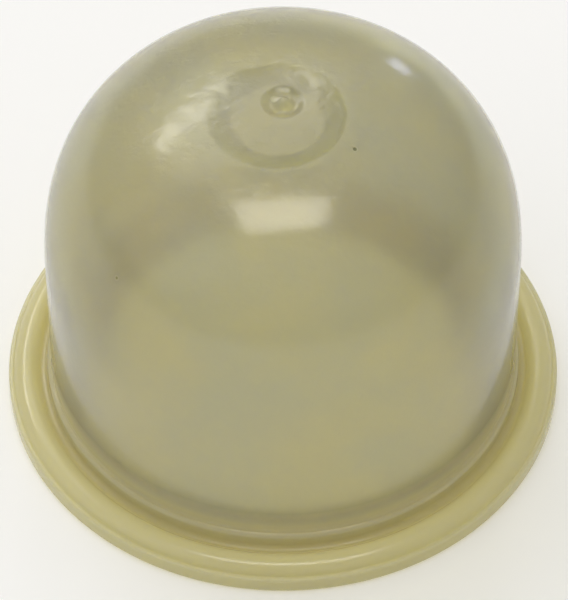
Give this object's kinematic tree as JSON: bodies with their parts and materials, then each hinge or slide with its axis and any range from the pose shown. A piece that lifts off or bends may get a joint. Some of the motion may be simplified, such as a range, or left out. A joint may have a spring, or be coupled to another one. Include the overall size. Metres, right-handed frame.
{
  "type": "primer bulb",
  "caption": "Translucent hollow dome with a flat-bottomed, beaded flange, pressed by hand to draw fuel into a small-engine carburettor.",
  "frame": {"origin": "centre of the flange's flat underside, on the bulb's axis", "axes": "+Z along the bulb's axis, from the flange to the crown; X and Y lie in the plane that the flange seats on"},
  "size_m": [0.0224, 0.0224, 0.0164],
  "materials": {
    "polyurethane": "gloss"
  },
  "bodies": {
    "root": {"primer_bulb": "polyurethane"}
  },
  "joints": []
}
